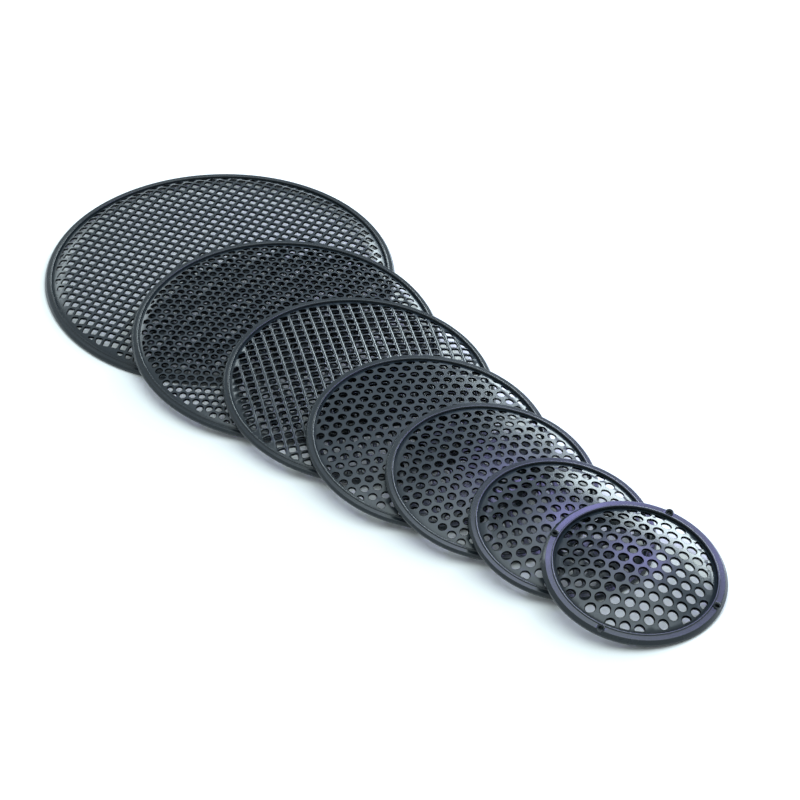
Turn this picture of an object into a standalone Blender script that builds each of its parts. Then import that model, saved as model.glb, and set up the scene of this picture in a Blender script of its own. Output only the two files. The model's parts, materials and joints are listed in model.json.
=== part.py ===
"""Nested set of seven round domed grilles, laid out in a fanned row, largest first.

Each grille is a moulded trim ring, a domed mesh whose flat foot is trapped under that ring,
and a thin foam gasket under both.  Every grille after the first leans on the one before it:
its front edge is on the floor and its back edge is on the lower grille's dome.

Lengths are in metres, +Z is up, and the row runs along +X.
"""

import math

import bmesh
import bpy
from mathutils import Matrix, Vector

MM = 0.001

# ---- sizes shared by every grille -------------------------------------------------------
CLEARANCE = 0.3 * MM       # gap kept between pieces that touch
STACK_CLEARANCE = 0.5 * MM  # gap kept where one grille leans on another
GASKET_THICKNESS = 0.8 * MM
GASKET_INSET = 1.2 * MM    # the gasket's edge is set in from the ring's edge
FOOT_WIDTH = 3.0 * MM      # width of the mesh's flat foot under the ring
LIP_WIDTH = 1.2 * MM       # raised bead round the ring's opening
LIP_HEIGHT = 0.9 * MM
SHOULDER_STEPS = 2         # flats that round the dome's shoulder
CROWN_STEPS = 3            # flats from the shoulder to the middle of the dome
SHOULDER_POWER = 0.8       # under 1 makes the shoulder rise more steeply from its foot
MAX_LEAN = math.radians(20)
LEAN_HALVINGS = 14         # halvings of MAX_LEAN in finding a grille's lean
MERGE_DISTANCE = 0.01 * MM  # turned points closer than this become one

# ---- screw lugs on the smallest grille --------------------------------------------------
LUG_COUNT = 4
LUG_RADIUS = 3.4 * MM
LUG_STAND = 0.5 * MM       # how far a lug stands above the bead
LUG_FIRST_ANGLE = math.radians(21)
SCREW_HOLE_RADIUS = 1.9 * MM
SCREW_EDGE = 4.4 * MM      # from the ring's outer edge to a screw's centre
HOLE_SIDES = 16

RING_BLACK = (0.012, 0.013, 0.016, 1.0)
MESH_BLACK = (0.010, 0.012, 0.014, 1.0)
FOAM_BLACK = (0.020, 0.020, 0.022, 1.0)


class Grille:
    """Sizes of one grille, in metres, and its place in the row."""

    def __init__(self, name, diameter, wall, flange, flange_height, skirt, groove,
                 shoulder, rise, step, sideways, screwed=False):
        self.name = name
        self.radius = diameter / 2
        self.wall = wall                      # thickness of the domed mesh
        self.flange = flange                  # ring's width, edge to opening
        self.flange_height = flange_height    # ring's top above its rebate
        self.skirt = skirt                    # run of the ring's sloped outer side
        self.groove = groove                  # gap between the ring's opening and the dome
        self.shoulder_run, self.shoulder_rise = shoulder
        self.rise = rise                      # dome's middle above its foot
        self.step = step                      # from the centre of the grille before
        self.sideways = sideways              # off the row's centre line
        self.screwed = screwed
        self.place = Matrix.Identity(4)

    # Heights are above the gasket's underside, which is the grille's own zero.
    @property
    def underside(self):
        return GASKET_THICKNESS + CLEARANCE

    @property
    def flange_top(self):
        return self.rebate_height + self.flange_height

    @property
    def opening(self):
        """Radius of the ring's opening."""
        return self.radius - self.flange

    @property
    def foot_radius(self):
        return self.opening + FOOT_WIDTH

    @property
    def rebate_radius(self):
        return self.foot_radius + CLEARANCE

    @property
    def rebate_height(self):
        return self.underside + self.wall + CLEARANCE

    @property
    def dome_radius(self):
        """Radius where the mesh turns up from its foot."""
        return self.opening - self.groove

    @property
    def gasket_radius(self):
        return self.radius - GASKET_INSET

    @property
    def gasket_inner(self):
        return self.opening + CLEARANCE

    @property
    def segments(self):
        """Sides of the turned pieces, by size and in fours so that the extents are exact."""
        return 32 + 8 * int(self.radius > 80 * MM) + 8 * int(self.radius > 110 * MM)

    def ring_outline(self):
        bead_top = self.flange_top + LIP_HEIGHT
        return [
            (self.opening, bead_top),
            (self.opening + LIP_WIDTH, bead_top),
            (self.opening + LIP_WIDTH + LIP_HEIGHT / 2, self.flange_top),
            (self.radius - self.skirt, self.flange_top),
            (self.radius, self.underside + (self.flange_top - self.underside) / 3),
            (self.radius, self.underside),
            (self.rebate_radius, self.underside),
            (self.rebate_radius, self.rebate_height),
            (self.opening, self.rebate_height),
        ]

    def gasket_outline(self):
        return [
            (self.gasket_inner, GASKET_THICKNESS),
            (self.gasket_radius, GASKET_THICKNESS),
            (self.gasket_radius, 0.0),
            (self.gasket_inner, 0.0),
        ]

    def dome_height(self, radius):
        """Height of the mesh's upper face, above its foot's upper face."""
        brow = self.dome_radius - self.shoulder_run
        if radius >= self.dome_radius:
            return 0.0
        if radius > brow:
            along = (self.dome_radius - radius) / self.shoulder_run
            return self.shoulder_rise * math.sin(along * math.pi / 2) ** SHOULDER_POWER
        crown = self.rise - self.shoulder_rise
        return self.shoulder_rise + crown * (1 - (radius / brow) ** 2)

    def dome_outline(self):
        """Upper face of the mesh, from the middle down and out to its foot."""
        foot_top = self.underside + self.wall
        brow = self.dome_radius - self.shoulder_run
        radii = [brow * i / CROWN_STEPS for i in range(CROWN_STEPS)]
        turn = math.pi / 2 / SHOULDER_STEPS
        radii += [self.dome_radius - self.shoulder_run * math.cos(turn * i)
                  for i in range(SHOULDER_STEPS)]
        radii += [self.dome_radius, self.foot_radius]
        return [(r, foot_top + self.dome_height(r)) for r in radii]

    def top_height(self, radius):
        """Highest solid at a radius; None outside the grille."""
        if radius > self.radius + STACK_CLEARANCE:
            return None
        if radius >= self.opening - self.groove:
            lug = LUG_STAND if self.screwed else 0.0
            return self.flange_top + LIP_HEIGHT + lug
        return self.underside + self.wall + self.dome_height(radius)

    def bottom_height(self, radius):
        """Lowest solid at a radius inside the grille."""
        if radius > self.gasket_radius:
            return self.underside
        if radius >= self.gasket_inner:
            return 0.0
        return self.underside + self.dome_height(radius + self.wall)


GRILLES = [
    Grille("grille_1", 308 * MM, 2 * MM, 6.2 * MM, 1.1 * MM, 1.4 * MM, 0.6 * MM,
           (18 * MM, 7 * MM), 10 * MM, 0 * MM, 28 * MM),
    Grille("grille_2", 266 * MM, 2 * MM, 5.8 * MM, 1.1 * MM, 1.4 * MM, 0.6 * MM,
           (12 * MM, 4 * MM), 9 * MM, 115 * MM, 0 * MM),
    Grille("grille_3", 232 * MM, 2 * MM, 5.8 * MM, 1.1 * MM, 1.4 * MM, 0.6 * MM,
           (12 * MM, 3.5 * MM), 10.5 * MM, 96 * MM, -5 * MM),
    Grille("grille_4", 206 * MM, 2 * MM, 6.4 * MM, 1.1 * MM, 1.4 * MM, 0.6 * MM,
           (10 * MM, 3 * MM), 11 * MM, 93 * MM, -14 * MM),
    Grille("grille_5", 178 * MM, 2 * MM, 6.4 * MM, 1.1 * MM, 1.4 * MM, 0.6 * MM,
           (9 * MM, 3 * MM), 11 * MM, 75 * MM, -15 * MM),
    Grille("grille_6", 155 * MM, 2.2 * MM, 6.8 * MM, 1.2 * MM, 1.6 * MM, 0.8 * MM,
           (8 * MM, 3 * MM), 13 * MM, 82 * MM, -17 * MM),
    Grille("grille_7", 152 * MM, 2.6 * MM, 8.8 * MM, 1.8 * MM, 2.6 * MM, 1.4 * MM,
           (6 * MM, 3 * MM), 14 * MM, 79 * MM, -16 * MM, screwed=True),
]


# ---- small tools ------------------------------------------------------------------------
def clear_scene():
    for obj in list(bpy.data.objects):
        bpy.data.objects.remove(obj, do_unlink=True)


def new_collection(name):
    collection = bpy.data.collections.new(name)
    bpy.context.scene.collection.children.link(collection)
    return collection


def moulded(name, colour, roughness):
    material = bpy.data.materials.new(name)
    material.use_nodes = True
    shader = material.node_tree.nodes["Principled BSDF"]
    shader.inputs["Base Color"].default_value = colour
    shader.inputs["Roughness"].default_value = roughness
    shader.inputs["Metallic"].default_value = 0.0
    material.diffuse_color = colour
    return material


def profile_object(name, points, closed, collection):
    """Edges through (radius, height) points, in the XZ plane."""
    count = len(points)
    edges = [(i, i + 1) for i in range(count - 1)]
    if closed:
        edges.append((count - 1, 0))
    mesh = bpy.data.meshes.new(name)
    mesh.from_pydata([(r, 0.0, z) for r, z in points], edges, [])
    obj = bpy.data.objects.new(name, mesh)
    collection.objects.link(obj)
    return obj


def turn(obj, segments):
    screw = obj.modifiers.new("turn", "SCREW")
    screw.axis = "Z"
    screw.angle = math.tau
    screw.steps = segments
    screw.render_steps = segments
    screw.use_merge_vertices = True
    screw.merge_threshold = MERGE_DISTANCE
    screw.use_smooth_shade = True


def thicken(obj, wall):
    shell = obj.modifiers.new("wall", "SOLIDIFY")
    shell.thickness = wall
    shell.offset = -1.0
    shell.use_even_offset = True


def boolean(obj, operand, operation):
    step = obj.modifiers.new(operation.lower(), "BOOLEAN")
    step.operation = operation
    step.solver = "EXACT"
    step.object = operand


def post(name, radius, low, high, place, collection):
    """Upright round bar between two heights, used to add or cut material."""
    mesh = bpy.data.meshes.new(name)
    bm = bmesh.new()
    bmesh.ops.create_cone(bm, cap_ends=True, segments=HOLE_SIDES, radius1=radius,
                          radius2=radius, depth=high - low)
    bm.to_mesh(mesh)
    bm.free()
    obj = bpy.data.objects.new(name, mesh)
    obj.location = (place[0], place[1], (low + high) / 2)
    obj.display_type = "WIRE"
    obj.hide_render = True
    collection.objects.link(obj)
    return obj


# ---- laying the row ---------------------------------------------------------------------
def underside_points(grille, turns=120, rings=20):
    """Points over the grille's underside, in its own frame."""
    radii = [grille.radius, grille.gasket_radius, grille.gasket_inner]
    radii += [grille.opening * i / rings for i in range(rings + 1)]
    for radius in radii:
        height = grille.bottom_height(radius)
        for i in range(turns):
            angle = math.tau * i / turns
            yield Vector((radius * math.cos(angle), radius * math.sin(angle), height))


def laid_at(grille, centre_x, lean):
    """Frame of a grille whose front edge is on the floor and whose back is raised."""
    lift = grille.gasket_radius * math.sin(lean)
    move = Matrix.Translation((centre_x, grille.sideways, lift))
    return move @ Matrix.Rotation(lean, 4, "Y")


def clears(grille, place, lower_grilles):
    for lower in lower_grilles:
        into_lower = lower.place.inverted() @ place
        for point in underside_points(grille):
            spot = into_lower @ point
            top = lower.top_height(math.hypot(spot.x, spot.y))
            if top is not None and spot.z < top + STACK_CLEARANCE:
                return False
    return True


def lay_row():
    """Give every grille the least lean that keeps it clear of those already laid."""
    centre_x = 0.0
    for index, grille in enumerate(GRILLES):
        centre_x += grille.step
        if index == 0:
            grille.place = laid_at(grille, centre_x, 0.0)
            continue
        lower_grilles = GRILLES[max(0, index - 2):index]
        flat, steep = 0.0, MAX_LEAN
        for _ in range(LEAN_HALVINGS):
            lean = (flat + steep) / 2
            if clears(grille, laid_at(grille, centre_x, lean), lower_grilles):
                steep = lean
            else:
                flat = lean
        grille.place = laid_at(grille, centre_x, steep)


# ---- the pieces -------------------------------------------------------------------------
def lug_places(grille):
    reach = grille.radius - SCREW_EDGE
    for i in range(LUG_COUNT):
        angle = LUG_FIRST_ANGLE + math.tau * i / LUG_COUNT
        yield reach * math.cos(angle), reach * math.sin(angle)


def make_ring(grille, parts, tools, material):
    ring = profile_object(grille.name + "_trim_ring", grille.ring_outline(), True, parts)
    turn(ring, grille.segments)
    ring.data.materials.append(material)
    helpers = []
    if grille.screwed:
        top = grille.flange_top + LIP_HEIGHT + LUG_STAND
        for i, place in enumerate(lug_places(grille)):
            lug = post(f"lug_{i + 1}", LUG_RADIUS, grille.rebate_height, top, place, tools)
            boolean(ring, lug, "UNION")
            helpers.append(lug)
        for i, place in enumerate(lug_places(grille)):
            drill = post(f"ring_drill_{i + 1}", SCREW_HOLE_RADIUS, 0.0, top + MM, place, tools)
            boolean(ring, drill, "DIFFERENCE")
            helpers.append(drill)
    return ring, helpers


def make_mesh_dome(grille, parts, material):
    dome = profile_object(grille.name + "_mesh_dome", grille.dome_outline(), False, parts)
    turn(dome, grille.segments)
    thicken(dome, grille.wall)
    dome.data.materials.append(material)
    return dome


def make_gasket(grille, parts, tools, material):
    gasket = profile_object(grille.name + "_gasket", grille.gasket_outline(), True, parts)
    turn(gasket, grille.segments)
    gasket.data.materials.append(material)
    helpers = []
    if grille.screwed:
        for i, place in enumerate(lug_places(grille)):
            punch = post(f"gasket_punch_{i + 1}", SCREW_HOLE_RADIUS, -MM,
                         GASKET_THICKNESS + MM, place, tools)
            boolean(gasket, punch, "DIFFERENCE")
            helpers.append(punch)
    return gasket, helpers


def centre_on_floor(root, parts):
    """Move the whole row so that its box stands on the floor about the origin."""
    bpy.context.view_layer.update()
    graph = bpy.context.evaluated_depsgraph_get()
    corners = []
    for obj in parts.objects:
        if obj.type != "MESH":
            continue
        solid = obj.evaluated_get(graph)
        corners += [solid.matrix_world @ v.co for v in solid.data.vertices]
    low = [min(c[i] for c in corners) for i in range(3)]
    high = [max(c[i] for c in corners) for i in range(3)]
    root.location = (-(low[0] + high[0]) / 2, -(low[1] + high[1]) / 2, -low[2])
    bpy.context.view_layer.update()


def main():
    clear_scene()
    parts = new_collection("grille_set")
    tools = new_collection("cutters")
    ring_black = moulded("moulded_ring_black", RING_BLACK, 0.35)
    mesh_black = moulded("moulded_mesh_black", MESH_BLACK, 0.30)
    foam_black = moulded("gasket_foam_black", FOAM_BLACK, 0.90)

    lay_row()
    root = bpy.data.objects.new("row", None)
    parts.objects.link(root)
    for grille in GRILLES:
        seat = bpy.data.objects.new(grille.name, None)
        seat.parent = root
        seat.matrix_local = grille.place
        parts.objects.link(seat)
        ring, lugs = make_ring(grille, parts, tools, ring_black)
        gasket, punches = make_gasket(grille, parts, tools, foam_black)
        dome = make_mesh_dome(grille, parts, mesh_black)
        for piece in [ring, gasket, dome] + lugs + punches:
            piece.parent = seat
    centre_on_floor(root, parts)


main()
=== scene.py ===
"""Looks of a nested set of seven round perforated grilles, laid in a fanned row.

Each grille is three pieces: a turned trim ring, a moulded mesh dome with every hole cut
through it, and a foam gasket.  A piece is built in its grille's own frame, with the
gasket's underside at zero height, and is then set where the CAD frame has that grille.

Lengths are in metres, +Z is up, and the row runs along +X.
"""

import json
import math

import bmesh
import bpy
from mathutils import Matrix, Vector
from mathutils.geometry import delaunay_2d_cdt


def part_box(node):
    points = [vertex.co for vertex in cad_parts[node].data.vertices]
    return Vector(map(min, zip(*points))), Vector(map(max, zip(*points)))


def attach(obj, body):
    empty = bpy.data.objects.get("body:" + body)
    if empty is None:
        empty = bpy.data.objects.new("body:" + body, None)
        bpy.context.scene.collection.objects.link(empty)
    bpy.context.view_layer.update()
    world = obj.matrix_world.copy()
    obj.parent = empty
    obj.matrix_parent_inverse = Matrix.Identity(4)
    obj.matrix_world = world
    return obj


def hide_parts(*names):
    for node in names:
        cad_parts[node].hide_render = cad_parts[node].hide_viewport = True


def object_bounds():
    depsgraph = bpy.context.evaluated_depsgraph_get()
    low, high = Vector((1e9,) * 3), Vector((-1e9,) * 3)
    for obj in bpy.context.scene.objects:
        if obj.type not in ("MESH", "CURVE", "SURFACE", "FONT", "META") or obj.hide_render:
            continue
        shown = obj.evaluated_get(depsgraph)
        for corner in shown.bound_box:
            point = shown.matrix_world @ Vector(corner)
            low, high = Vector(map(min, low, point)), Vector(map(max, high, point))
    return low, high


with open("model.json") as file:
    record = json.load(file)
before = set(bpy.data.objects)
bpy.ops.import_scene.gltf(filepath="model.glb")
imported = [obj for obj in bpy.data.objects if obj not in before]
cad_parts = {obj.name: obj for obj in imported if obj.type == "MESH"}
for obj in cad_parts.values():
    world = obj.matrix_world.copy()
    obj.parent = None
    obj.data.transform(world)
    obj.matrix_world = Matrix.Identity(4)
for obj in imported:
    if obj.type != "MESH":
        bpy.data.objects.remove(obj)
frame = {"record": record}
cad_low, cad_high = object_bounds()

MM = 0.001

# ---- sizes shared by every grille, as the CAD part has them ------------------------------
CLEARANCE = 0.3 * MM
GASKET_THICKNESS = 0.8 * MM
GASKET_INSET = 1.2 * MM
SHOULDER_POWER = 0.8
FOOT_WIDTH = 3.0 * MM
LIP_WIDTH = 1.2 * MM
LIP_HEIGHT = 0.9 * MM

# ---- sizes that only the looks need ------------------------------------------------------
RING_SIDES = 168           # sides of a turned piece
BEAD_ROUND = 0.57 * MM     # rounding of the bead's two edges
FLANGE_ROUND = 0.5 * MM    # rounding where the flange turns down into its skirt
FOOT_ROUND = 0.15 * MM     # rounding of the small edges underneath
CORNER_STEPS = 3           # flats in a rounded corner
SMALLEST_EDGE = 0.08 * MM  # points of a cropped hole closer than this become one
SMALLEST_HOLE = 0.22       # a cropped hole with less of its area than this is left out
RIB_TOP = 0.15 * MM        # half width of a ridge along its top
RIB_FOOT = 0.55 * MM       # half width of a ridge where it meets the mesh
RIB_STEP = 3.0 * MM        # spacing of the points along a ridge
RIB_FADE = 5.0 * MM        # a ridge sinks into the mesh over this length at its ends
SHOULDER_STEP = 2.5 * MM   # spacing of the rings of points that shape a shoulder
SHOULDER_SPARE = 0.6 * MM  # those points stay this far from a hole's rounded edge
RIM_BAND = 0.4 * MM        # plain mesh between the cropped holes and the turned margin
RIM_STEP = 1.0 * MM        # spacing of the rings of points across the turned margin
RIB_CLEAR = 1.0 * MM       # ridges end this far inside the cropping circle
HOLE_BEVEL = 0.6           # height of the bevel under a hole, as a share of its fillet
SLOPE_STEP = 0.3 * MM      # distance over which the dome's slope is measured
MERGE_DISTANCE = 0.01 * MM
WELD_MM = 1e-5             # the triangulation joins points closer than this, in mm
CREASE = 35                # degrees: a turned piece shows an edge where it bends more
PLAIN_CREASE = 50          # the same for a mesh dome
RIBBED_CREASE = 30         # and for the dome with ridges

# Rows of staggered holes are closer together than the holes in a row, by this share.
STAGGER = math.sqrt(3) / 2

# ---- screw lugs on the smallest grille ---------------------------------------------------
LUG_COUNT = 4
LUG_RADIUS = 3.4 * MM
LUG_STAND = 0.5 * MM
LUG_FIRST_ANGLE = math.radians(21)
SCREW_HOLE_RADIUS = 1.9 * MM
COUNTERSINK_RADIUS = 3.0 * MM
SCREW_EDGE = 4.4 * MM
LUG_SIDES = 32


class Holes:
    """How one mesh is perforated.  Angles are in degrees, in the plan of the grille."""

    def __init__(self, pitch, size, angle, margin, corner=0.0, fillet=0.5 * MM,
                 staggered=True, sides=16, rib=0.0):
        self.pitch_x, self.pitch_y = pitch
        self.half_x = size[0] / 2
        self.half_y = size[1] / 2
        self.angle = math.radians(angle)
        self.margin = margin        # plain band between the holes and the ring's opening
        self.corner = corner        # corner radius; 0 makes the holes round
        self.fillet = fillet        # rounding of the upper edge of each hole
        self.staggered = staggered  # every other row is moved by half a pitch
        self.sides = sides
        self.rib = rib              # height of the ridges that run between the rows

    def centres(self, reach):
        """Hole centres whose holes touch the circle of that radius."""
        far = reach + max(self.half_x, self.half_y)
        rows = int(far / self.pitch_y) + 1
        columns = int(far / self.pitch_x) + 1
        turn = Matrix.Rotation(self.angle, 2)
        for row in range(-rows, rows + 1):
            shift = 0.5 * (row % 2) if self.staggered else 0.5
            for column in range(-columns - 1, columns + 1):
                centre = turn @ Vector(((column + shift) * self.pitch_x, row * self.pitch_y))
                if centre.length < far:
                    yield centre

    def outline(self, grown):
        """Points round one hole about its centre, grown outwards by a width."""
        turn = Matrix.Rotation(self.angle, 2)
        if self.corner == 0.0:
            radius = self.half_x + grown
            turns = [math.tau * i / self.sides for i in range(self.sides)]
            return [turn @ Vector((radius * math.cos(a), radius * math.sin(a))) for a in turns]
        per_corner = self.sides // 4
        radius = self.corner + grown
        points = []
        for quarter in range(4):
            side_x = 1 if quarter in (0, 3) else -1
            side_y = 1 if quarter in (0, 1) else -1
            middle = Vector((side_x * (self.half_x - self.corner),
                             side_y * (self.half_y - self.corner)))
            for i in range(per_corner):
                a = math.pi / 2 * (quarter + i / (per_corner - 1))
                points.append(turn @ (middle + radius * Vector((math.cos(a), math.sin(a)))))
        return points


class Grille:
    """Sizes of one grille, with its place taken from the frame."""

    def __init__(self, number, wall, flange, flange_height, skirt, groove, shoulder, rise,
                 holes, screwed=False):
        self.body = f"grille_{number}"
        low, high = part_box(self.body + "_trim_ring")
        self.radius = (high.y - low.y) / 2
        self.wall = wall
        self.flange = flange
        self.flange_height = flange_height
        self.skirt = skirt
        self.groove = groove
        self.shoulder_run, self.shoulder_rise = shoulder
        self.rise = rise
        self.holes = holes
        self.screwed = screwed
        self.place = seat_frame(self.body, (low.y + high.y) / 2)

        self.underside = GASKET_THICKNESS + CLEARANCE
        self.rebate_height = self.underside + wall + CLEARANCE
        self.flange_top = self.rebate_height + flange_height
        self.opening = self.radius - flange
        self.foot_radius = self.opening + FOOT_WIDTH
        self.rebate_radius = self.foot_radius + CLEARANCE
        self.dome_radius = self.opening - groove
        self.gasket_radius = self.radius - GASKET_INSET
        self.gasket_inner = self.opening + CLEARANCE

    def dome_top(self, radius):
        """Height of the mesh's upper face at a radius."""
        foot_top = self.underside + self.wall
        brow = self.dome_radius - self.shoulder_run
        if radius >= self.dome_radius:
            return foot_top
        if radius > brow:
            along = (self.dome_radius - radius) / self.shoulder_run
            return foot_top + self.shoulder_rise * math.sin(along * math.pi / 2) ** SHOULDER_POWER
        crown = self.rise - self.shoulder_rise
        return foot_top + self.shoulder_rise + crown * (1 - (radius / brow) ** 2)

    def dome_normal(self, point):
        """Direction straight out of the mesh's upper face, over a point in plan."""
        radius = point.length
        fall = (self.dome_top(radius + SLOPE_STEP)
                - self.dome_top(max(radius - SLOPE_STEP, 0.0)))
        slope = fall / (2 * SLOPE_STEP)
        outward = point / radius if radius > MM else Vector((0.0, 0.0))
        return Vector((-slope * outward.x, -slope * outward.y, 1.0)).normalized()


def seat_frame(body, centre_y):
    """Frame of one grille: its axis stands square to the flat back that its mount is on."""
    mount = next(m for m in frame["record"]["mounts"] if m["name"] == "back_of_" + body)
    upward = -Vector(mount["axis"])
    along = Vector((0.0, 1.0, 0.0)).cross(upward).normalized()
    across = upward.cross(along)
    turn = Matrix((along, across, upward)).transposed().to_4x4()
    origin = Vector((mount["pos_m"][0], centre_y, mount["pos_m"][2]))
    return Matrix.Translation(origin) @ turn


def staggered(pitch, width, angle, margin, **more):
    """Round holes with six neighbours each, all at the same pitch."""
    return Holes((pitch, pitch * STAGGER), (width, width), angle, margin, **more)


GRILLES = [
    Grille(1, 2.0 * MM, 6.2 * MM, 1.1 * MM, 1.4 * MM, 0.6 * MM, (18 * MM, 7 * MM), 10 * MM,
           Holes((8.4 * MM, 8.4 * MM), (5.8 * MM, 5.8 * MM), 19, 3.2 * MM, corner=0.9 * MM,
                 fillet=0.4 * MM, staggered=False, sides=12)),
    Grille(2, 2.0 * MM, 5.8 * MM, 1.1 * MM, 1.4 * MM, 0.6 * MM, (12 * MM, 4 * MM), 9 * MM,
           staggered(8.1 * MM, 5.7 * MM, 40, 3.0 * MM, sides=14)),
    Grille(3, 2.0 * MM, 5.8 * MM, 1.1 * MM, 1.4 * MM, 0.6 * MM, (12 * MM, 3.5 * MM), 10.5 * MM,
           Holes((8.1 * MM, 9.1 * MM), (5.9 * MM, 5.9 * MM), -31, 2.0 * MM, corner=1.2 * MM,
                 fillet=0.4 * MM, staggered=False, sides=12, rib=0.35 * MM)),
    Grille(4, 2.0 * MM, 6.4 * MM, 1.1 * MM, 1.4 * MM, 0.6 * MM, (10 * MM, 3 * MM), 11 * MM,
           staggered(10.7 * MM, 6.7 * MM, -4.5, 2.0 * MM)),
    Grille(5, 2.0 * MM, 6.4 * MM, 1.1 * MM, 1.4 * MM, 0.6 * MM, (9 * MM, 3 * MM), 11 * MM,
           staggered(10.5 * MM, 6.8 * MM, 2.6, 2.0 * MM)),
    Grille(6, 2.2 * MM, 6.8 * MM, 1.2 * MM, 1.6 * MM, 0.8 * MM, (8 * MM, 3 * MM), 13 * MM,
           staggered(11.8 * MM, 7.7 * MM, -4.5, 2.0 * MM, sides=20)),
    Grille(7, 2.6 * MM, 8.8 * MM, 1.8 * MM, 2.6 * MM, 1.4 * MM, (6 * MM, 3 * MM), 14 * MM,
           staggered(11.9 * MM, 8.2 * MM, -24, 2.0 * MM, fillet=0.6 * MM, sides=24),
           screwed=True),
]


# ---- small tools -------------------------------------------------------------------------
def linear(hex_colour):
    """Linear RGBA of an sRGB hex colour."""
    channels = [int(hex_colour[i:i + 2], 16) / 255 for i in (1, 3, 5)]
    return [c / 12.92 if c <= 0.04045 else ((c + 0.055) / 1.055) ** 2.4
            for c in channels] + [1.0]


def add_node(tree, kind, inputs=None, **settings):
    """Adds a shader node.  An input is a value, or the socket that it is linked from."""
    node = tree.nodes.new(kind)
    for name, value in settings.items():
        setattr(node, name, value)
    for name, value in (inputs or {}).items():
        if isinstance(value, bpy.types.NodeSocket):
            tree.links.new(value, node.inputs[name])
        else:
            node.inputs[name].default_value = value
    return node


def settle(piece, grille, material, node):
    """Puts a finished piece in its place in the frame, for the CAD node it stands for."""
    piece.data.materials.clear()
    piece.data.materials.append(material)
    piece.data.transform(grille.place)
    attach(piece, grille.body)
    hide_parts(node)


def new_object(name, mesh):
    obj = bpy.data.objects.new(name, mesh)
    bpy.context.scene.collection.objects.link(obj)
    return obj


# ---- turned pieces -----------------------------------------------------------------------
def round_corners(corners):
    """Closed outline through (radius, height, rounding) corners, each rounded to an arc."""
    points = []
    count = len(corners)
    for i, (r, z, rounding) in enumerate(corners):
        here = Vector((r, z))
        if rounding == 0.0:
            points.append(here)
            continue
        before = (Vector(corners[i - 1][:2]) - here).normalized()
        after = (Vector(corners[(i + 1) % count][:2]) - here).normalized()
        half = before.angle(after) / 2
        centre = here + (before + after).normalized() * (rounding / math.sin(half))
        start = here + before * (rounding / math.tan(half)) - centre
        sweep = start.angle_signed(here + after * (rounding / math.tan(half)) - centre)
        for step in range(CORNER_STEPS + 1):
            swing = Matrix.Rotation(-sweep * step / CORNER_STEPS, 2)
            points.append(centre + swing @ start)
    return points


def turned_mesh(name, outline, sides, on_axis=False):
    """Solid of revolution of (radius, height) points: a closed outline, or one whose two
    ends are on the axis."""
    bm = bmesh.new()
    rows = []
    for side in range(sides):
        a = math.tau * side / sides
        rows.append([bm.verts.new((p.x * math.cos(a), p.x * math.sin(a), p.y))
                     for p in outline])
    spans = len(outline) - 1 if on_axis else len(outline)
    for side in range(sides):
        here, there = rows[side], rows[(side + 1) % sides]
        for i in range(spans):
            j = (i + 1) % len(outline)
            bm.faces.new((here[i], here[j], there[j], there[i]))
    if on_axis:
        bmesh.ops.remove_doubles(bm, verts=bm.verts, dist=MERGE_DISTANCE)
    bmesh.ops.recalc_face_normals(bm, faces=bm.faces)
    mesh = bpy.data.meshes.new(name)
    bm.to_mesh(mesh)
    bm.free()
    return mesh


def shade(mesh, crease):
    """Smooth shading that breaks at edges sharper than an angle in degrees."""
    mesh.shade_smooth()
    mesh.set_sharp_from_angle(angle=math.radians(crease))


def carve(obj, tool, operation):
    """Joins a tool to an object or cuts it away, and leaves the result as plain mesh."""
    step = obj.modifiers.new(operation.lower(), "BOOLEAN")
    step.operation = operation
    step.solver = "EXACT"
    step.object = tool
    graph = bpy.context.evaluated_depsgraph_get()
    carved = bpy.data.meshes.new_from_object(obj.evaluated_get(graph))
    obj.modifiers.clear()
    obj.data = carved
    bpy.data.objects.remove(tool)


def turned_piece(name, corners):
    return new_object(name, turned_mesh(name, round_corners(corners), RING_SIDES))


def ring_corners(g):
    """Corners of the trim ring's section: bead, flange, skirt, and the rebate underneath."""
    bead_top = g.flange_top + LIP_HEIGHT
    skirt_foot = g.underside + (g.flange_top - g.underside) / 3  # a third of the way up
    return [
        (g.opening, bead_top, BEAD_ROUND),
        (g.opening + LIP_WIDTH, bead_top, BEAD_ROUND),
        (g.opening + LIP_WIDTH + LIP_HEIGHT / 2, g.flange_top, FOOT_ROUND),
        (g.radius - g.skirt, g.flange_top, FLANGE_ROUND),
        (g.radius, skirt_foot, FOOT_ROUND),
        (g.radius, g.underside, FOOT_ROUND),
        (g.rebate_radius, g.underside, FOOT_ROUND),
        (g.rebate_radius, g.rebate_height, FOOT_ROUND),
        (g.opening, g.rebate_height, FOOT_ROUND),
    ]


def gasket_corners(g):
    return [
        (g.gasket_inner, GASKET_THICKNESS, FOOT_ROUND),
        (g.gasket_radius, GASKET_THICKNESS, FOOT_ROUND),
        (g.gasket_radius, 0.0, FOOT_ROUND),
        (g.gasket_inner, 0.0, FOOT_ROUND),
    ]


def lug_places(g):
    reach = g.radius - SCREW_EDGE
    for i in range(LUG_COUNT):
        a = LUG_FIRST_ANGLE + math.tau * i / LUG_COUNT
        yield Matrix.Translation((reach * math.cos(a), reach * math.sin(a), 0.0))


def bar(name, corners, place):
    """Round bar from its (radius, height, rounding) corners, which start and end on its axis."""
    obj = new_object(name, turned_mesh(name, round_corners(corners), LUG_SIDES, on_axis=True))
    obj.matrix_world = place
    bpy.context.view_layer.update()
    return obj


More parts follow.
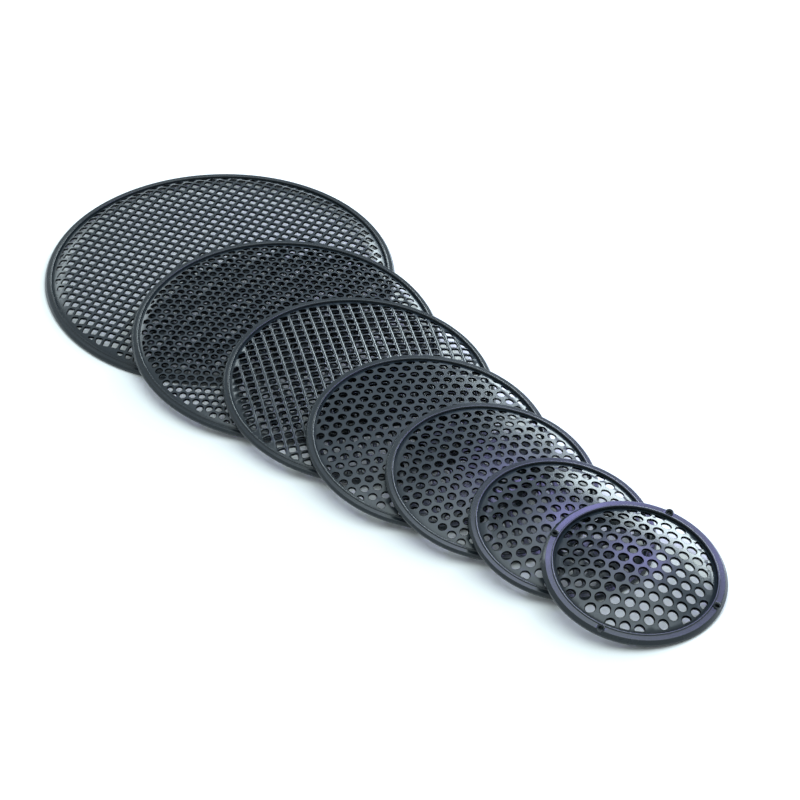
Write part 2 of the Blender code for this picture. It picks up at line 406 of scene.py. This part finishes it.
def add_lugs(ring, g):
    """Four round lugs across the flange, each drilled and countersunk for a screw."""
    top = g.flange_top + LIP_HEIGHT + LUG_STAND
    sink = COUNTERSINK_RADIUS - SCREW_HOLE_RADIUS
    for place in lug_places(g):
        lug = bar("lug", [
            (0.0, g.rebate_height + CLEARANCE, 0.0),
            (LUG_RADIUS, g.rebate_height + CLEARANCE, 0.0),
            (LUG_RADIUS, top, BEAD_ROUND),
            (0.0, top, 0.0),
        ], place)
        carve(ring, lug, "UNION")
    for place in lug_places(g):
        drill = bar("drill", [
            (0.0, -MM, 0.0),
            (SCREW_HOLE_RADIUS, -MM, 0.0),
            (SCREW_HOLE_RADIUS, top - sink, 0.0),
            (COUNTERSINK_RADIUS, top, 0.0),
            (COUNTERSINK_RADIUS, top + MM, 0.0),
            (0.0, top + MM, 0.0),
        ], place)
        carve(ring, drill, "DIFFERENCE")


def punch_gasket(gasket, g):
    for place in lug_places(g):
        punch = bar("punch", [
            (0.0, -MM, 0.0),
            (SCREW_HOLE_RADIUS, -MM, 0.0),
            (SCREW_HOLE_RADIUS, GASKET_THICKNESS + MM, 0.0),
            (0.0, GASKET_THICKNESS + MM, 0.0),
        ], place)
        carve(gasket, punch, "DIFFERENCE")


# ---- the perforated mesh -----------------------------------------------------------------
SMOOTH = Vector((0.0, 0.0, 0.0))  # in a list of normals: smooth shading is left as it is


def anchor_of(centre, half, reach):
    """Point inside both the hole and the circle, for the hole's outline to be cropped towards."""
    away = min(centre.length, (centre.length - half + reach) / 2)
    return centre.normalized() * away


def crop(point, anchor, reach):
    """Moves a point that lies past the circle towards the anchor, back on to the circle."""
    if point.length <= reach:
        return point
    way = point - anchor
    along = anchor.dot(way)
    spare = reach ** 2 - anchor.length_squared
    share = (math.sqrt(along ** 2 + way.length_squared * spare) - along) / way.length_squared
    return anchor + way * share


def polygon_area(points):
    """Area inside a closed outline, for points that run anticlockwise."""
    area = 0.0
    for i, p in enumerate(points):
        q = points[i - 1]
        area += q.x * p.y - p.x * q.y
    return area / 2


def hole_section(g):
    """(growth, depth, tilt) down a hole's side: rounded upper edge, straight wall, bevel."""
    fillet = g.holes.fillet
    half_way = math.pi / 4
    return [
        (fillet, 0.0, 0.0),
        (fillet * (1 - math.sin(half_way)), fillet * (1 - math.cos(half_way)), half_way),
        (0.0, fillet, math.pi / 2),
        (0.0, g.wall - HOLE_BEVEL * fillet, None),
        (fillet, g.wall, None),
    ]


def cut_holes(g, reach):
    """Yields each hole's centre, with its outline at every level of the hole's side."""
    section = hole_section(g)
    whole = polygon_area(g.holes.outline(0.0))
    for centre in g.holes.centres(reach):
        anchor = anchor_of(centre, g.holes.half_x, reach)
        wall_line = [crop(centre + p, anchor, reach) for p in g.holes.outline(0.0)]
        keep = []
        for i, p in enumerate(wall_line):
            if not keep or (p - wall_line[keep[-1]]).length > SMALLEST_EDGE:
                keep.append(i)
        if (wall_line[keep[0]] - wall_line[keep[-1]]).length <= SMALLEST_EDGE:
            keep.pop()
        if len(keep) < 3 or polygon_area([wall_line[i] for i in keep]) < SMALLEST_HOLE * whole:
            continue
        levels = []
        for grown, _, _ in section:
            line = [crop(centre + p, anchor, reach + grown) for p in g.holes.outline(grown)]
            levels.append([line[i] for i in keep])
        yield centre, levels


def circle(radius, sides):
    return [Vector((radius * math.cos(math.tau * i / sides),
                    radius * math.sin(math.tau * i / sides))) for i in range(sides)]


def shoulder_points(g, reach):
    """Yields points that let the plain parts of the mesh follow the curve of its shoulder."""
    spare = max(g.holes.half_x, g.holes.half_y)
    if g.holes.corner:
        spare *= math.sqrt(2)
    spare += g.holes.fillet + SHOULDER_SPARE
    centres = list(g.holes.centres(reach))
    radius = reach
    while radius > g.dome_radius - g.shoulder_run:
        for point in circle(radius, RING_SIDES // 2):
            if all((point - c).length > spare for c in centres):
                yield point
        radius -= SHOULDER_STEP


def rib_lines(g, reach):
    """Yields lines of (point, lift) along the ridges that run between the rows of holes."""
    turn = Matrix.Rotation(g.holes.angle, 2)
    end = reach - RIB_CLEAR
    rows = int(end / g.holes.pitch_y) + 1
    for row in range(-rows, rows):
        middle = (row + 0.5) * g.holes.pitch_y
        for side, tall in ((-RIB_FOOT, 0), (-RIB_TOP, 1), (RIB_TOP, 1), (RIB_FOOT, 0)):
            away = middle + side
            if abs(away) > end - RIB_STEP:
                continue
            half = math.sqrt(end ** 2 - away ** 2)
            count = max(2, int(2 * half / RIB_STEP))
            line = []
            for i in range(count + 1):
                along = -half + 2 * half * i / count
                fade = min(1.0, (half - abs(along)) / RIB_FADE)
                line.append((turn @ Vector((along, away)), tall * fade * g.holes.rib))
            yield line


def sheet_plan(g, reach, rim_radius, holes):
    """The mesh's upper face in plan: its points with their lifts, the edges that it keeps,
    and the place of each hole's first point.  The rim's points come first."""
    plan = circle(rim_radius, RING_SIDES)
    edges = [(i, (i + 1) % RING_SIDES) for i in range(RING_SIDES)]
    plan += list(shoulder_points(g, reach))
    lifts = [0.0] * len(plan)
    if g.holes.rib:
        for line in rib_lines(g, reach):
            start = len(plan)
            plan += [point for point, _ in line]
            lifts += [lift for _, lift in line]
            edges += [(start + i, start + i + 1) for i in range(len(line) - 1)]
    first_of_hole = []
    for _, levels in holes:
        first_of_hole.append(len(plan))
        plan += levels[0]
        lifts += [0.0] * len(levels[0])
    return plan, lifts, edges, first_of_hole


def triangulate(plan, edges, outlines):
    """Triangles that fill the plan between its edges and leave the outlines open."""
    # Worked in millimetres, where the triangulation's rounding is harmless.
    _, _, triangles, origins, _, inside = delaunay_2d_cdt(
        [p / MM for p in plan], edges, outlines, 0, WELD_MM)
    source = [o[0] for o in origins]
    return [tuple(source[v] for v in t) for t, i in zip(triangles, inside) if not i]


def add_hole_side(g, centre, levels, upper, lowest, verts, normals, faces):
    """Side of one hole, level by level, between its outlines on the two faces."""
    section = hole_section(g)
    count = len(upper)
    for level, (_, depth, tilt) in enumerate(section[1:], start=1):
        lower = lowest
        if level < len(section) - 1:
            lower = []
            for p in levels[level]:
                lower.append(len(verts))
                verts.append((p.x, p.y, g.dome_top(p.length) - depth))
                normals.append(edge_normal(g, p, centre, tilt) if tilt else SMOOTH)
        for i in range(count):
            j = (i + 1) % count
            faces.append((upper[j], upper[i], lower[i], lower[j]))
        upper = lower


def dome_mesh(g):
    """The domed mesh as one closed solid, with its holes."""
    reach = g.dome_radius - g.holes.margin
    rim_radius = reach + g.holes.fillet + RIM_BAND
    holes = list(cut_holes(g, reach))
    plan, lifts, edges, first_of_hole = sheet_plan(g, reach, rim_radius, holes)
    outlines = [list(range(first, first + len(levels[0])))
                for first, (_, levels) in zip(first_of_hole, holes)]
    sheet = triangulate(plan, edges, outlines)

    verts = []
    normals = []
    for p, lift in zip(plan, lifts):
        verts.append((p.x, p.y, g.dome_top(p.length) + lift))
        normals.append(SMOOTH if g.holes.rib else g.dome_normal(p))
    below = len(verts)
    for p in plan:
        verts.append((p.x, p.y, g.dome_top(p.length) - g.wall))
        normals.append(SMOOTH)
    faces = list(sheet)
    faces += [tuple(below + v for v in reversed(t)) for t in sheet]
    for upper, (centre, levels) in zip(outlines, holes):
        lowest = [below + v for v in upper]
        add_hole_side(g, centre, levels, upper, lowest, verts, normals, faces)
    add_margin(g, rim_radius, below, verts, normals, faces)

    mesh = bpy.data.meshes.new(g.body + "_mesh_dome_looks")
    mesh.from_pydata(verts, [], faces)
    mesh.validate()
    shade(mesh, RIBBED_CREASE if g.holes.rib else PLAIN_CREASE)
    mesh.normals_split_custom_set_from_vertices(normals)
    return mesh


def edge_normal(g, point, centre, tilt):
    """Direction out of a hole's rounded edge, tilted from the mesh's face into the hole."""
    inward = (centre - point).normalized()
    face = g.dome_normal(point)
    return (face * math.cos(tilt) + Vector((inward.x, inward.y, 0.0)) * math.sin(tilt)).normalized()


def add_margin(g, rim_radius, below, verts, normals, faces):
    """Plain band from the perforated part out to the flat foot, upper and lower faces."""
    gap = g.dome_radius - rim_radius
    steps = max(2, round(gap / RIM_STEP))
    radii = [rim_radius + gap * i / steps for i in range(1, steps + 1)] + [g.foot_radius]
    upper = list(range(RING_SIDES))
    lower = [below + i for i in upper]
    for radius in radii:
        next_upper = []
        next_lower = []
        for p in circle(radius, RING_SIDES):
            top = g.dome_top(radius)
            next_upper.append(len(verts))
            verts.append((p.x, p.y, top))
            normals.append(SMOOTH)
            next_lower.append(len(verts))
            verts.append((p.x, p.y, top - g.wall))
            normals.append(SMOOTH)
        for i in range(RING_SIDES):
            j = (i + 1) % RING_SIDES
            faces.append((upper[i], next_upper[i], next_upper[j], upper[j]))
            faces.append((lower[j], next_lower[j], next_lower[i], lower[i]))
        upper, lower = next_upper, next_lower
    for i in range(RING_SIDES):
        j = (i + 1) % RING_SIDES
        faces.append((upper[i], lower[i], lower[j], upper[j]))


# ---- materials ---------------------------------------------------------------------------
SMEAR_SIZE = 45 * MM
SPECK_SIZE = 1.2 * MM
CELL_SIZE = 0.8 * MM
FIBRE_SIZE = 2 * MM
GLOSS_SPREAD = 0.14        # how much rougher a smear is than the moulded gloss


def new_material(name):
    """An empty node material, its node tree, and the object's own coordinates in metres."""
    material = bpy.data.materials.new(name)
    material.use_nodes = True
    tree = material.node_tree
    tree.nodes.clear()
    return material, tree, add_node(tree, "ShaderNodeTexCoord").outputs["Object"]


def moulded_abs(name, base, dusty, gloss, grain):
    """Injection-moulded black ABS: the polished mould leaves a wet gloss with a faint ripple,
    and handling leaves duller smears and a trace of pale dust."""
    material, tree, spot = new_material(name)
    smear = add_node(tree, "ShaderNodeTexNoise",
                     {"Vector": spot, "Scale": 1 / SMEAR_SIZE, "Detail": 3.0, "Roughness": 0.6})
    speck = add_node(tree, "ShaderNodeTexNoise",
                     {"Vector": spot, "Scale": 1 / SPECK_SIZE, "Detail": 2.0, "Roughness": 0.7})
    dust = add_node(tree, "ShaderNodeMapRange",
                    {"Value": speck.outputs["Fac"], "From Min": 0.60, "From Max": 0.80,
                     "To Min": 0.0, "To Max": 0.5})
    colour = add_node(tree, "ShaderNodeMix",
                      {"Factor": dust.outputs["Result"], "A": linear(base), "B": linear(dusty)},
                      data_type="RGBA")
    rough = add_node(tree, "ShaderNodeMapRange",
                     {"Value": smear.outputs["Fac"], "From Min": 0.3, "From Max": 0.7,
                      "To Min": gloss, "To Max": gloss + GLOSS_SPREAD})
    # Ripple of the moulded skin, drawn coarser than the real one so that it shows.
    ripple = add_node(tree, "ShaderNodeTexNoise",
                      {"Vector": spot, "Scale": 1 / grain, "Detail": 2.0})
    bump = add_node(tree, "ShaderNodeBump",
                    {"Height": ripple.outputs["Fac"], "Strength": 0.35,
                     "Distance": 0.05 * MM})
    shader = add_node(tree, "ShaderNodeBsdfPrincipled",
                      {"Base Color": colour.outputs["Result"], "Roughness": rough.outputs["Result"],
                       "IOR": 1.54, "Normal": bump.outputs["Normal"]})
    add_node(tree, "ShaderNodeOutputMaterial", {"Surface": shader.outputs["BSDF"]})
    return material


def closed_cell_foam():
    """Die-cut black foam strip: matt, with the skin of its cells just showing."""
    material, tree, spot = new_material("closed_cell_foam")
    # The real cells are about 0.3 mm; they are drawn larger so that they show.
    cells = add_node(tree, "ShaderNodeTexVoronoi", {"Vector": spot, "Scale": 1 / CELL_SIZE})
    tone = add_node(tree, "ShaderNodeMix",
                    {"Factor": cells.outputs["Distance"], "A": linear("#1a1b1c"),
                     "B": linear("#2b2c2e")},
                    data_type="RGBA")
    bump = add_node(tree, "ShaderNodeBump",
                    {"Height": cells.outputs["Distance"], "Strength": 0.6, "Distance": 0.2 * MM})
    shader = add_node(tree, "ShaderNodeBsdfPrincipled",
                      {"Base Color": tone.outputs["Result"], "Roughness": 0.9,
                       "Normal": bump.outputs["Normal"]})
    add_node(tree, "ShaderNodeOutputMaterial", {"Surface": shader.outputs["BSDF"]})
    return material


def pale_board():
    """Matt white card, the plain surface the row is laid on."""
    material, tree, spot = new_material("pale_board")
    fibres = add_node(tree, "ShaderNodeTexNoise",
                      {"Vector": spot, "Scale": 1 / FIBRE_SIZE, "Detail": 3.0})
    tone = add_node(tree, "ShaderNodeMix",
                    {"Factor": fibres.outputs["Fac"], "A": linear("#f6f8f6"),
                     "B": linear("#fbfbfa")},
                    data_type="RGBA")
    shader = add_node(tree, "ShaderNodeBsdfPrincipled",
                      {"Base Color": tone.outputs["Result"], "Roughness": 0.85,
                       "Specular IOR Level": 0.2})
    add_node(tree, "ShaderNodeOutputMaterial", {"Surface": shader.outputs["BSDF"]})
    return material


# ---- building the row --------------------------------------------------------------------
def build_row():
    ring_abs = moulded_abs("moulded_abs_ring", "#20272b", "#3f484c", 0.17, 2.5 * MM)
    mesh_abs = moulded_abs("moulded_abs_mesh", "#252d32", "#464f54", 0.22, 2 * MM)
    foam = closed_cell_foam()
    for g in GRILLES:
        ring = turned_piece(g.body + "_ring", ring_corners(g))
        gasket = turned_piece(g.body + "_foam", gasket_corners(g))
        if g.screwed:
            add_lugs(ring, g)
            punch_gasket(gasket, g)
        shade(ring.data, CREASE)
        shade(gasket.data, CREASE)
        dome = new_object(g.body + "_dome", dome_mesh(g))
        settle(ring, g, ring_abs, g.body + "_trim_ring")
        settle(gasket, g, foam, g.body + "_gasket")
        settle(dome, g, mesh_abs, g.body + "_mesh_dome")


# ---- stage, lights and camera ------------------------------------------------------------
FLOOR_REACH = 6.0          # metres from the middle of the floor to its edge
FLOOR_GAP = 0.05 * MM      # keeps the floor and the gaskets from sharing a plane


def lay_floor():
    mesh = bpy.data.meshes.new("floor")
    bm = bmesh.new()
    bmesh.ops.create_grid(bm, x_segments=8, y_segments=8, size=FLOOR_REACH)
    bm.to_mesh(mesh)
    bm.free()
    floor = new_object("floor", mesh)
    floor.location.z = cad_low.z - FLOOR_GAP
    mesh.materials.append(pale_board())


def soft_light(name, power, size, place, target, colour):
    """A soft box of a power in watts and a size in metres, turned to its target."""
    lamp = bpy.data.lights.new(name, "AREA")
    lamp.energy = power
    lamp.shape = "RECTANGLE"
    lamp.size, lamp.size_y = size
    lamp.color = colour
    obj = new_object(name, lamp)
    obj.location = place
    obj.rotation_euler = (Vector(target) - Vector(place)).to_track_quat("-Z", "Y").to_euler()


def light_studio():
    world = bpy.data.worlds.new("studio")
    bpy.context.scene.world = world
    world.use_nodes = True
    background = world.node_tree.nodes["Background"]
    background.inputs["Color"].default_value = linear("#effaff")
    background.inputs["Strength"].default_value = 0.52
    middle = (0.0, 0.0, 0.0)
    smallest = (0.31, -0.04, 0.0)
    cool = linear("#e6f6fb")[:3]
    lavender = linear("#b0abff")[:3]
    soft_light("overhead", 44, (2.4, 2.4), (0.3, 0.0, 2.2), middle, cool)
    soft_light("back_right", 48, (1.6, 0.7), (-0.3, 2.0, 0.75), middle, cool)
    soft_light("far_left", 7, (1.0, 0.5), (-2.0, 0.3, 0.7), middle, cool)
    soft_light("lavender", 2.4, (0.36, 0.26), (0.12, 0.42, 0.62), smallest, lavender)


def aim_camera():
    look_at = Vector((0.0039, -0.0040, 0.0))
    azimuth, elevation = math.radians(45.61), math.radians(38.39)
    distance = 3.566
    back = Vector((math.sin(azimuth) * math.cos(elevation),
                   -math.cos(azimuth) * math.cos(elevation), math.sin(elevation)))
    lens = bpy.data.cameras.new("camera")
    lens.lens = 189
    lens.sensor_width = 36
    lens.clip_end = 50
    camera = new_object("camera", lens)
    camera.location = look_at + back * distance
    facing = (-back).to_track_quat("-Z", "Y").to_matrix().to_4x4()
    camera.matrix_world = Matrix.Translation(camera.location) @ facing
    bpy.context.scene.camera = camera


build_row()
lay_floor()
light_studio()
aim_camera()
bpy.context.scene.view_settings.view_transform = "Standard"
